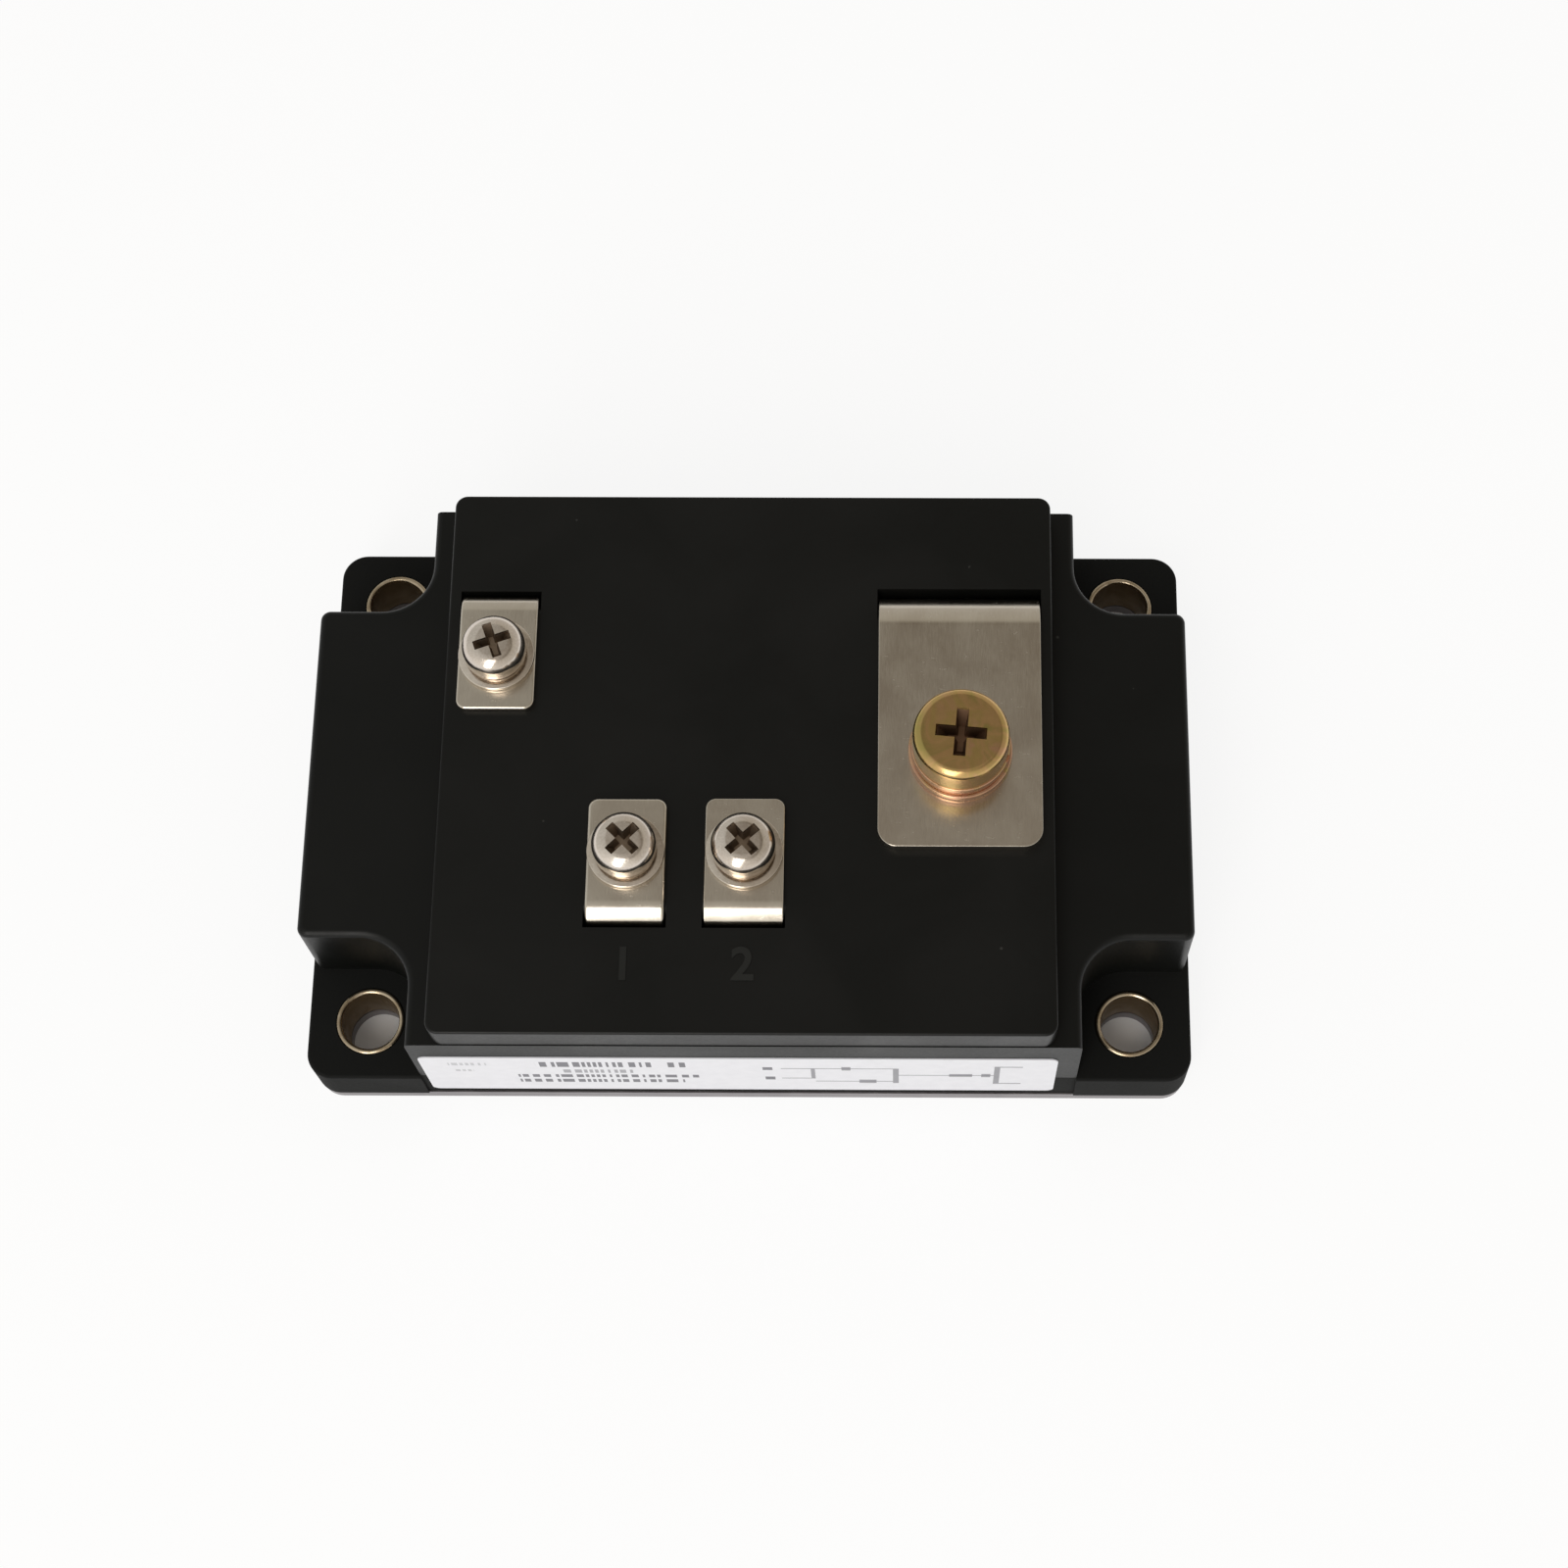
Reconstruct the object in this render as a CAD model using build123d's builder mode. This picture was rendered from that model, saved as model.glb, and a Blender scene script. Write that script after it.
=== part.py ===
from build123d import *
import os

os.makedirs("parts", exist_ok=True)

# Transistor power module: a black moulded housing with a lid on a nickel-plated baseplate.
# Millimetres. X runs along the length, Y to the back and Z up. The origin is on the
# underside of the baseplate, at its middle.

# Footprint and mounting holes
base_length = 108.0
base_width = 69.8
base_corner_radius = 3.2
hole_edge_x = 7.5
hole_edge_y = 7.15
mounting_bore = 7.0
sleeve_wall = 0.7
sleeve_clearance = 0.05
sleeve_rise = 0.15

# Levels above the underside of the baseplate
baseplate_thickness = 2.0
flange_height = 9.2
deck_height = 28.0
gel_height = 12.0

# Housing
baseplate_inset = 0.15
screw_room = 6.6
block_inset = 0.35
notch_radius = 6.2
wing_inset = 0.45
wing_corner_radius = 1.2
shoulder_width = 3.1
end_wall = 4.5
side_wall = 3.0
lid_seat = 2.5
cavity_corner_radius = 3.0
wing_wall = 2.4
wing_rib = 1.8
wing_core_radius = 1.5
housing_edge_radius = 0.8
flange_edge_radius = 0.4
glue_groove_width = 1.2
glue_groove_depth = 0.8
glue_groove_setback = 0.9

# Lid
lid_step = 4.9
lid_setback = 0.1
lid_corner_radius = 1.5
lid_edge_radius = 0.3
lid_thickness = 2.8
lid_rim = 2.5
plug_depth = 5.1
plug_clearance = 0.2
nut_clearance = 0.1
slot_clearance = 0.2
slot_depth = 4.0

# Terminals: flat tabs folded over the nuts, set back from the edges of the lid
fold_end_gap = 0.2
strain_relief_depth = 10.0
strain_relief_height = 3.0
strain_relief_step = 1.3
foot_length = 6.0

power_end_margin = 1.5
power_setback = 12.65
power_width = 19.6
power_thickness = 1.5
power_fold_radius = 3.7
power_tab_length = 33.6
power_screw_reach = 21.8
power_corner_radius = 2.3
power_leg_width = 12.0
power_leg_shift = -1.0

emitter_end_margin = 1.6
signal_setback = 13.15
gate_pitch = 14.0
sense_x = 0.0
signal_width = 9.4
signal_thickness = 1.0
signal_fold_radius = 1.9
signal_tab_length = 15.6
signal_screw_reach = 8.8
signal_corner_radius = 1.2
signal_leg_width = 4.0
emitter_leg_shift = 1.5

# Terminal screws, washers and nuts
power_thread = 6.0
power_screw_length = 12.0
power_head_diameter = 11.5
power_head_height = 4.2
power_head_rounding = 1.1
power_nut_flats = 10.0
power_nut_height = 5.0
power_nut_boss = 15.0
power_washer_diameter = 12.4
power_washer_thickness = 1.2
power_spring_diameter = 11.8
power_spring_thickness = 1.6
power_recess_length = 6.2
power_recess_width = 1.4
power_recess_depth = 2.4
power_recess_turn = -5.0

signal_thread = 4.0
signal_screw_length = 8.0
signal_head_diameter = 7.6
signal_head_height = 3.2
signal_head_side = 1.5
signal_head_crown = 2.0
signal_nut_flats = 7.0
signal_nut_height = 3.2
signal_nut_boss = 11.0
signal_washer_diameter = 9.2
signal_washer_thickness = 0.8
signal_spring_diameter = 7.0
signal_spring_thickness = 1.1
signal_recess_length = 4.6
signal_recess_width = 1.1
signal_recess_depth = 1.7
emitter_recess_turn = 20.0
gate_recess_turn = 45.0
sense_recess_turn = 42.0

thread_clearance = 0.1
hole_clearance = 0.3
spring_gap = 1.0
spring_gap_tilt = 25.0

# Front label
label_left_margin = 0.8
label_right_margin = 2.6
label_top_margin = 5.0
label_bottom_margin = 1.6
label_corner_radius = 1.0
label_thickness = 0.15

# Substrate, chips and bonds
substrate_margin_x = 1.2
substrate_margin_y = 6.0
substrate_solder_thickness = 0.2
copper_thickness = 0.3
ceramic_thickness = 0.64
copper_margin = 0.8
copper_gap = 1.0
solder_thickness = 0.1
gate_track_width = 1.2
signal_pad_overhang = 1.0
signal_pad_wire_room = 2.2
igbt_side = 11.0
diode_side = 8.0
chip_thickness = 0.3
chip_margin = 1.2
wire_width = 0.4
wire_pitch = 1.3
wires_per_chip = 6
wire_loop = 1.8
wire_foot = 1.0
wire_setback = 2.5
wire_bend_radius = 0.5
gel_wall_gap = 0.05

# Sizes worked out from the values above
hole_pitch_x = base_length - 2 * hole_edge_x
hole_pitch_y = base_width - 2 * hole_edge_y
shoulder_height = deck_height - lid_step
block_length = hole_pitch_x - 2 * screw_room
block_width = base_width - 2 * block_inset
wing_width = hole_pitch_y - 2 * screw_room
wing_length = base_length - 2 * wing_inset
lid_length = block_length - 2 * shoulder_width
lid_width = block_width - 2 * lid_setback
cavity_length = lid_length - 2 * lid_seat
cavity_width = block_width - 2 * end_wall
plug_length = cavity_length - 2 * plug_clearance
plug_width = cavity_width - 2 * plug_clearance
plug_bottom = shoulder_height - plug_depth
sleeve_diameter = mounting_bore + 2 * sleeve_wall
label_length = block_length - label_left_margin - label_right_margin
label_shift = (label_left_margin - label_right_margin) / 2
label_bottom = baseplate_thickness + label_bottom_margin
label_height = shoulder_height - label_top_margin - label_bottom

power_row = lid_width / 2 - power_setback
signal_row = lid_width / 2 - signal_setback
power_x = lid_length / 2 - power_end_margin - power_width / 2
emitter_x = emitter_end_margin + signal_width / 2 - lid_length / 2
gate_x = sense_x - gate_pitch
strain_relief_top = deck_height - strain_relief_depth
strain_relief_bottom = strain_relief_top - strain_relief_height
foot_reach = strain_relief_step - foot_length
fold_shoulder_height = deck_height - slot_depth + fold_end_gap
power_screw_y = power_row - power_screw_reach
signal_screw_y = signal_row - signal_screw_reach
power_head_seat = (
    deck_height + power_thickness + power_washer_thickness + power_spring_thickness
)
signal_head_seat = (
    deck_height + signal_thickness + signal_washer_thickness + signal_spring_thickness
)

ceramic_length = cavity_length - 2 * substrate_margin_x
ceramic_width = cavity_width - 2 * substrate_margin_y
back_copper_height = baseplate_thickness + substrate_solder_thickness
ceramic_height = back_copper_height + copper_thickness
island_height = ceramic_height + ceramic_thickness
pad_height = island_height + copper_thickness
chip_height = pad_height + solder_thickness
chip_top = chip_height + chip_thickness
island_right = ceramic_length / 2 - copper_margin
island_back = ceramic_width / 2 - copper_margin
gate_track_left = gate_x - signal_leg_width / 2 - signal_pad_overhang
gate_pad_right = gate_x + signal_leg_width / 2 + signal_pad_overhang
emitter_island_right = gate_track_left - copper_gap
collector_left = gate_track_left + gate_track_width + copper_gap
signal_pad_back = signal_pad_wire_room - signal_row - foot_reach
collector_front = signal_pad_back + copper_gap
sense_pad_left = gate_pad_right + copper_gap
sense_pad_right = sense_x + signal_leg_width / 2 + signal_pad_overhang
igbt_x = collector_left + chip_margin + igbt_side / 2
diode_x = igbt_x + igbt_side / 2 + chip_margin + diode_side / 2
chip_pitch = (island_back - collector_front) / 2
front_chip_y = collector_front + chip_pitch / 2
chip_rows = [front_chip_y, front_chip_y + chip_pitch]

# Each signal terminal: where it stands, which row its fold is on (1 back, -1 front) and
# how far its leg is moved to stay clear of the rim of the lid
signal_terminals = {
    "emitter": (emitter_x, 1, emitter_leg_shift, emitter_recess_turn),
    "gate": (gate_x, -1, 0.0, gate_recess_turn),
    "sense": (sense_x, -1, 0.0, sense_recess_turn),
}
signal_screw_places = [
    (x, row * signal_screw_y) for x, row, shift, turn in signal_terminals.values()
]
power_screw_place = (power_x, power_screw_y)


def finish(piece, label):
    """Name a finished piece and write it to its own STEP file."""
    piece.label = label
    export_step(piece, f"parts/{label}.step")


def between(x0, y0, x1, y1):
    """A rectangle in a sketch, given by two opposite corners."""
    with Locations(((x0 + x1) / 2, (y0 + y1) / 2)):
        Rectangle(x1 - x0, y1 - y0)


# Baseplate: nickel-plated copper, flush under the housing, with four mounting holes
with BuildPart() as baseplate:
    with BuildSketch():
        RectangleRounded(
            base_length - 2 * baseplate_inset,
            base_width - 2 * baseplate_inset,
            base_corner_radius - baseplate_inset,
        )
        with GridLocations(hole_pitch_x, hole_pitch_y, 2, 2):
            Circle(mounting_bore / 2, mode=Mode.SUBTRACT)
    extrude(amount=baseplate_thickness)
finish(baseplate.part, "baseplate")

# Mounting sleeves: short metal tubes moulded over by the flange, standing on the baseplate
with BuildPart() as mounting_sleeves:
    with BuildSketch(Plane.XY.offset(baseplate_thickness)):
        with GridLocations(hole_pitch_x, hole_pitch_y, 2, 2):
            Circle(sleeve_diameter / 2)
            Circle(mounting_bore / 2, mode=Mode.SUBTRACT)
    extrude(amount=flange_height + sleeve_rise - baseplate_thickness)
finish(mounting_sleeves.part, "mounting_sleeves")

# Housing: a flange all round, and through it a block in the shape of a cross, which leaves
# a notch over each mounting hole. The four arms are the ends of the block and the wings.
# In front and at the back the flange is cut away to the face of the block.
with BuildPart() as housing:
    with BuildSketch(Plane.XY.offset(baseplate_thickness)):
        RectangleRounded(base_length, base_width, base_corner_radius)
    extrude(amount=flange_height - baseplate_thickness)
    fillet(housing.faces().sort_by(Axis.Z)[-1].edges(), flange_edge_radius)
    with BuildSketch(Plane.XY.offset(baseplate_thickness)):
        with GridLocations(0, base_width, 1, 2):
            Rectangle(block_length, 2 * block_inset)
    extrude(amount=flange_height - baseplate_thickness, mode=Mode.SUBTRACT)
    with BuildSketch(Plane.XY.offset(baseplate_thickness)) as cross:
        Rectangle(block_length, block_width)
        Rectangle(wing_length, wing_width)
        notch_corners = cross.vertices().filter_by(
            lambda v: abs(v.X) < wing_length / 2 - wing_corner_radius
            and abs(v.Y) < block_width / 2 - wing_corner_radius
        )
        fillet(notch_corners, notch_radius)
        wing_corners = cross.vertices().filter_by(
            lambda v: abs(v.X) > wing_length / 2 - wing_corner_radius
        )
        fillet(wing_corners, wing_corner_radius)
    extrude(amount=shoulder_height - baseplate_thickness)
    top_edges = housing.faces().sort_by(Axis.Z)[-1].outer_wire().edges()
    side_edges = top_edges.filter_by(lambda e: abs(e.center().Y) < block_width / 2 - lid_setback)
    fillet(side_edges, housing_edge_radius)

    # The well for the substrate, open at the top for the lid and below for the baseplate
    with BuildSketch(Plane.XY.offset(baseplate_thickness)):
        RectangleRounded(cavity_length, cavity_width, cavity_corner_radius)
    extrude(amount=shoulder_height - baseplate_thickness, mode=Mode.SUBTRACT)

    # The wings are cored out from below, with a rib across the middle of each
    core_inner = cavity_length / 2 + side_wall
    core_outer = wing_length / 2 - wing_wall
    core_length = core_outer - core_inner
    core_width = wing_width / 2 - wing_wall - wing_rib / 2
    with BuildSketch(Plane.XY.offset(baseplate_thickness)):
        with GridLocations(core_inner + core_outer, core_width + wing_rib, 2, 2):
            RectangleRounded(core_length, core_width, wing_core_radius)
    extrude(amount=shoulder_height - wing_wall - baseplate_thickness, mode=Mode.SUBTRACT)

    # Holes for the sleeves, and the groove for the glue round the well
    with BuildSketch(Plane.XY.offset(baseplate_thickness)):
        with GridLocations(hole_pitch_x, hole_pitch_y, 2, 2):
            Circle(sleeve_diameter / 2 + sleeve_clearance)
    extrude(amount=flange_height - baseplate_thickness, mode=Mode.SUBTRACT)
    with BuildSketch(Plane.XY.offset(baseplate_thickness)) as glue_ring:
        groove_reach = glue_groove_setback + glue_groove_width
        RectangleRounded(
            cavity_length + 2 * groove_reach,
            cavity_width + 2 * groove_reach,
            cavity_corner_radius + groove_reach,
        )
        RectangleRounded(
            cavity_length + 2 * glue_groove_setback,
            cavity_width + 2 * glue_groove_setback,
            cavity_corner_radius + glue_groove_setback,
            mode=Mode.SUBTRACT,
        )
    extrude(amount=glue_groove_depth, mode=Mode.SUBTRACT)
finish(housing.part, "housing")

# The bead of glue that fills the groove and holds the housing to the baseplate
with BuildPart() as glue_bead:
    add(glue_ring.sketch)
    extrude(amount=glue_groove_depth)
finish(glue_bead.part, "glue_bead")

# Lid: the raised deck, with a hollow plug that drops into the well. Bosses in the plug
# hold the nuts, and a slot beside each nut lets the terminal up through the deck.
with BuildPart() as lid:
    with BuildSketch(Plane.XY.offset(shoulder_height)):
        RectangleRounded(lid_length, lid_width, lid_corner_radius)
    extrude(amount=deck_height - shoulder_height)
    fillet(lid.faces().sort_by(Axis.Z)[-1].edges(), lid_edge_radius)
    with BuildSketch(Plane.XY.offset(plug_bottom)):
        RectangleRounded(plug_length, plug_width, cavity_corner_radius - plug_clearance)
    extrude(amount=plug_depth)
    with BuildSketch(Plane.XY.offset(plug_bottom)):
        RectangleRounded(
            plug_length - 2 * lid_rim,
            plug_width - 2 * lid_rim,
            cavity_corner_radius - plug_clearance - lid_rim / 2,
        )
        with Locations(power_screw_place):
            Rectangle(power_nut_boss, power_nut_boss, mode=Mode.SUBTRACT)
        with Locations(signal_screw_places):
            Rectangle(signal_nut_boss, signal_nut_boss, mode=Mode.SUBTRACT)
    extrude(amount=deck_height - lid_thickness - plug_bottom, mode=Mode.SUBTRACT)

    # Hexagonal nut pockets, with room for the screw tip below each nut
    for places, flats, height, thread, tip in (
        ([power_screw_place], power_nut_flats, power_nut_height, power_thread,
         power_head_seat - power_screw_length),
        (signal_screw_places, signal_nut_flats, signal_nut_height, signal_thread,
         signal_head_seat - signal_screw_length),
    ):
        with BuildSketch(Plane.XY.offset(deck_height)):
            with Locations(places):
                RegularPolygon(flats / 2 + nut_clearance, 6, major_radius=False)
        extrude(amount=-(height + nut_clearance), mode=Mode.SUBTRACT)
        with BuildSketch(Plane.XY.offset(deck_height)):
            with Locations(places):
                Circle(thread / 2 + hole_clearance)
        extrude(amount=-(deck_height - tip + 2 * hole_clearance), mode=Mode.SUBTRACT)

    # Slots, rounded on the side that the tab is folded over
    for x, row, fold, width, thickness, radius in [
        (power_x, 1, power_row, power_width, power_thickness, power_fold_radius),
    ] + [
        (x, row, signal_row, signal_width, signal_thickness, signal_fold_radius)
        for x, row, shift, turn in signal_terminals.values()
    ]:
        outer = fold + slot_clearance
        inner = fold - thickness - slot_clearance
        with BuildSketch(Plane.YZ.offset(x)):
            with BuildLine():
                Polyline(
                    (row * (inner - radius), deck_height),
                    (row * outer, deck_height),
                    (row * outer, deck_height - slot_depth),
                    (row * inner, deck_height - slot_depth),
                    (row * inner, deck_height - radius),
                )
                ThreePointArc(
                    (row * inner, deck_height - radius),
                    (
                        row * (inner - radius * (1 - 0.5**0.5)),
                        deck_height - radius * (1 - 0.5**0.5),
                    ),
                    (row * (inner - radius), deck_height),
                )
            make_face()
        extrude(amount=width / 2 + slot_clearance, both=True, mode=Mode.SUBTRACT)
finish(lid.part, "lid")


def folded_terminal(x, row, fold, width, thickness, fold_radius, tab_length, corner_radius,
                    hole_place, hole_diameter, leg_x, leg_width):
    """A strip folded down from its flat tab, with a step for strain relief in its leg
    and a foot that is soldered to the substrate. The outside of the fold is at fold."""
    middle = thickness / 2
    leg_y = fold - middle
    step_y = leg_y + strain_relief_step
    foot_z = pad_height + solder_thickness + middle
    with BuildPart() as strip:
        with BuildSketch(Plane.YZ.offset(x)):
            with BuildLine():
                FilletPolyline(
                    (row * (fold - tab_length), deck_height + middle),
                    (row * leg_y, deck_height + middle),
                    (row * leg_y, strain_relief_top),
                    (row * step_y, strain_relief_bottom),
                    (row * step_y, foot_z),
                    (row * (step_y + middle - foot_length), foot_z),
                    radius=[
                        fold_radius + middle,
                        thickness,
                        thickness,
                        thickness,
                    ],
                )
            trace(line_width=thickness)
        extrude(amount=width / 2, both=True)
        with BuildSketch(Plane.XZ):
            between(x - width / 2, fold_shoulder_height, x + width / 2, deck_height + thickness)
            between(leg_x - leg_width / 2, baseplate_thickness, leg_x + leg_width / 2,
                    fold_shoulder_height)
        extrude(amount=base_width / 2, both=True, mode=Mode.INTERSECT)
        free_end = strip.faces().filter_by(Axis.Y).sort_by(
            lambda f: abs(f.center().Y - row * (fold - tab_length))
        )[0]
        fillet(free_end.edges().filter_by(Axis.Z), corner_radius)
        with BuildSketch(Plane.XY.offset(deck_height)):
            with Locations(hole_place):
                Circle(hole_diameter / 2)
        extrude(amount=thickness, mode=Mode.SUBTRACT)
    return strip.part


# Power terminal: the wide tab at the right
power_leg_x = power_x + power_leg_shift
power_terminal = folded_terminal(
    power_x, 1, power_row, power_width, power_thickness, power_fold_radius, power_tab_length,
    power_corner_radius, power_screw_place, power_thread + 2 * hole_clearance,
    power_leg_x, power_leg_width,
)
finish(power_terminal, "power_terminal")

# Signal terminals: the emitter's at the back left, the gate's and the sense emitter's in front
inner_pieces = [power_terminal]
foot_pads = [(power_leg_x, power_row + foot_reach, power_leg_width, power_thickness, 1)]
for name, (x, row, shift, turn) in signal_terminals.items():
    signal_terminal = folded_terminal(
        x, row, signal_row, signal_width, signal_thickness, signal_fold_radius, signal_tab_length,
        signal_corner_radius, (x, row * signal_screw_y), signal_thread + 2 * hole_clearance,
        x + shift, signal_leg_width,
    )
    finish(signal_terminal, f"{name}_terminal")
    inner_pieces.append(signal_terminal)
    foot_pads.append((x + shift, signal_row + foot_reach, signal_leg_width, signal_thickness, row))


def hexagon_nuts(places, flats, height, thread):
    """Plain hexagon nuts, lying on the floors of their pockets in the lid."""
    with BuildPart() as nuts:
        with BuildSketch(Plane.XY.offset(deck_height - height - nut_clearance)):
            with Locations(places):
                RegularPolygon(flats / 2, 6, major_radius=False)
                Circle(thread / 2, mode=Mode.SUBTRACT)
        extrude(amount=height)
    return nuts.part


def flat_washers(places, height, diameter, thickness, bore):
    """Flat washers, lying on the tabs."""
    with BuildPart() as washers:
        with BuildSketch(Plane.XY.offset(height)):
            with Locations(places):
                Circle(diameter / 2)
                Circle(bore / 2, mode=Mode.SUBTRACT)
        extrude(amount=thickness)
    return washers.part


def spring_washers(places, height, diameter, thickness, bore):
    """Split spring washers pressed flat, each with its slanting gap to the right."""
    with BuildPart() as washers:
        with BuildSketch(Plane.XY.offset(height)):
            with Locations(places):
                Circle(diameter / 2)
                Circle(bore / 2, mode=Mode.SUBTRACT)
        extrude(amount=thickness)
        with Locations(*[
            Location((x + diameter / 2, y, height + thickness / 2), (spring_gap_tilt, 0, 0))
            for x, y in places
        ]):
            Box(diameter, spring_gap, 3 * thickness, mode=Mode.SUBTRACT)
    return washers.part


def cross_head_screw(place, seat, thread, length, diameter, height, side, crown, recess, turn):
    """A screw turned from its half profile: a shank, a head with an upright side and a
    crown that curves in to its flat middle, and a cross recess."""
    recess_length, recess_width, recess_depth = recess
    x, y = place
    with BuildPart() as screw:
        with BuildSketch(Plane(origin=(x, y, seat), x_dir=(1, 0, 0), z_dir=(0, -1, 0))):
            with BuildLine():
                Polyline(
                    (crown / 2, height),
                    (0, height),
                    (0, -length),
                    (thread / 2, -length),
                    (thread / 2, 0),
                    (diameter / 2, 0),
                    (diameter / 2, side),
                )
                TangentArc((crown / 2, height), (diameter / 2, side), tangent=(1, 0))
            make_face()
        revolve(axis=Axis((x, y, seat), (0, 0, 1)))
        with BuildSketch(Plane.XY.offset(seat + height)):
            with Locations((x, y)):
                Rectangle(recess_length, recess_width, rotation=turn)
                Rectangle(recess_width, recess_length, rotation=turn)
        extrude(amount=-recess_depth, mode=Mode.SUBTRACT)
    return screw.part


# Nuts
finish(
    hexagon_nuts([power_screw_place], power_nut_flats, power_nut_height, power_thread),
    "power_nut",
)
finish(
    hexagon_nuts(signal_screw_places, signal_nut_flats, signal_nut_height, signal_thread),
    "signal_nuts",
)

# Washers
power_tab_top = deck_height + power_thickness
signal_tab_top = deck_height + signal_thickness
finish(
    flat_washers([power_screw_place], power_tab_top, power_washer_diameter,
                 power_washer_thickness, power_thread),
    "power_flat_washer",
)
finish(
    flat_washers(signal_screw_places, signal_tab_top, signal_washer_diameter,
                 signal_washer_thickness, signal_thread),
    "signal_flat_washers",
)
finish(
    spring_washers([power_screw_place], power_tab_top + power_washer_thickness,
                   power_spring_diameter, power_spring_thickness, power_thread),
    "power_spring_washer",
)
finish(
    spring_washers(signal_screw_places, signal_tab_top + signal_washer_thickness,
                   signal_spring_diameter, signal_spring_thickness, signal_thread),
    "signal_spring_washers",
)

# Screws: one wide flat-topped screw for the power terminal, three domed ones for the others
finish(
    cross_head_screw(
        power_screw_place, power_head_seat, power_thread - 2 * thread_clearance,
        power_screw_length, power_head_diameter, power_head_height,
        power_head_height - power_head_rounding, power_head_diameter - 2 * power_head_rounding,
        (power_recess_length, power_recess_width, power_recess_depth), power_recess_turn,
    ),
    "power_screw",
)
with BuildPart() as signal_screws:
    for x, row, shift, turn in signal_terminals.values():
        add(cross_head_screw(
            (x, row * signal_screw_y), signal_head_seat, signal_thread - 2 * thread_clearance,
            signal_screw_length, signal_head_diameter, signal_head_height, signal_head_side,
            signal_head_crown, (signal_recess_length, signal_recess_width, signal_recess_depth),
            turn,
        ))
finish(signal_screws.part, "signal_screws")

# Label: a thin plate of film on the front of the housing
with BuildPart() as label:
    with BuildSketch(Plane.XZ.offset(block_width / 2)):
        with Locations((label_shift, label_bottom + label_height / 2)):
            RectangleRounded(label_length, label_height, label_corner_radius)
    extrude(amount=label_thickness)
finish(label.part, "label")

# Substrate: a ceramic plate with copper on both sides, soldered to the baseplate
with BuildPart() as substrate_solder:
    with BuildSketch(Plane.XY.offset(baseplate_thickness)):
        Rectangle(2 * island_right, 2 * island_back)
    extrude(amount=substrate_solder_thickness)
with BuildPart() as back_copper:
    with BuildSketch(Plane.XY.offset(back_copper_height)):
        Rectangle(2 * island_right, 2 * island_back)
    extrude(amount=copper_thickness)
with BuildPart() as ceramic:
    with BuildSketch(Plane.XY.offset(ceramic_height)):
        Rectangle(ceramic_length, ceramic_width)
    extrude(amount=ceramic_thickness)

# The copper on top is etched into islands. The collector's carries the chips, the emitter's
# runs down the left side, and the gate's has a narrow track between those two.
with BuildPart() as collector_copper:
    with BuildSketch(Plane.XY.offset(island_height)):
        between(collector_left, collector_front, island_right, island_back)
        between(sense_pad_right + copper_gap, -island_back, island_right, collector_front)
    extrude(amount=copper_thickness)
with BuildPart() as emitter_copper:
    with BuildSketch(Plane.XY.offset(island_height)):
        between(-island_right, -island_back, emitter_island_right, island_back)
    extrude(amount=copper_thickness)
with BuildPart() as gate_copper:
    with BuildSketch(Plane.XY.offset(island_height)):
        between(gate_track_left, -island_back, gate_track_left + gate_track_width, island_back)
        between(gate_track_left, -island_back, gate_pad_right, signal_pad_back)
    extrude(amount=copper_thickness)
with BuildPart() as sense_copper:
    with BuildSketch(Plane.XY.offset(island_height)):
        between(sense_pad_left, -island_back, sense_pad_right, signal_pad_back)
    extrude(amount=copper_thickness)

# Chips: two transistors in a column and a diode beside each, on thin layers of solder
igbt_places = [(igbt_x, y) for y in chip_rows]
diode_places = [(diode_x, y) for y in chip_rows]
with BuildPart() as chip_solder:
    with BuildSketch(Plane.XY.offset(pad_height)):
        with Locations(igbt_places):
            Rectangle(igbt_side, igbt_side)
        with Locations(diode_places):
            Rectangle(diode_side, diode_side)
    extrude(amount=solder_thickness)
with BuildPart() as igbt_chips:
    with BuildSketch(Plane.XY.offset(chip_height)):
        with Locations(igbt_places):
            Rectangle(igbt_side, igbt_side)
    extrude(amount=chip_thickness)
with BuildPart() as diode_chips:
    with BuildSketch(Plane.XY.offset(chip_height)):
        with Locations(diode_places):
            Rectangle(diode_side, diode_side)
    extrude(amount=chip_thickness)

# Solder under the flat of each terminal's foot
with BuildPart() as terminal_solder:
    with BuildSketch(Plane.XY.offset(pad_height)):
        for leg_x, inner_end, leg_width, thickness, row in foot_pads:
            flat_length = foot_length - 2 * thickness
            with Locations((leg_x, row * (inner_end + flat_length / 2))):
                Rectangle(leg_width, flat_length)
    extrude(amount=solder_thickness)

# Bond wires: each row of wires is stitched from a diode over its transistor to the
# emitter's island, arching over the gate's track
wire_middle = wire_width / 2
chip_wire_z = chip_top + wire_middle
island_wire_z = pad_height + wire_middle


def stitched_wire(plane, stops):
    """A wire with a flat foot at each stop, given as (place along the plane, height), and
    a loop between each stop and the next. The stops run against the plane's x axis."""
    points = []
    for place, height in stops:
        if points:
            start, start_height = points[-1]
            span = start - place - wire_foot / 2
            loop_height = max(height, start_height) + wire_loop
            points.append((start - span / 3, loop_height))
            points.append((start - span * 2 / 3, loop_height))
        points.append((place + wire_foot / 2, height))
        points.append((place - wire_foot / 2, height))
    with BuildPart() as wire:
        with BuildSketch(plane):
            with BuildLine():
                FilletPolyline(*points, radius=wire_bend_radius)
            trace(line_width=wire_width)
        extrude(amount=wire_middle, both=True)
    return wire.part


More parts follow.
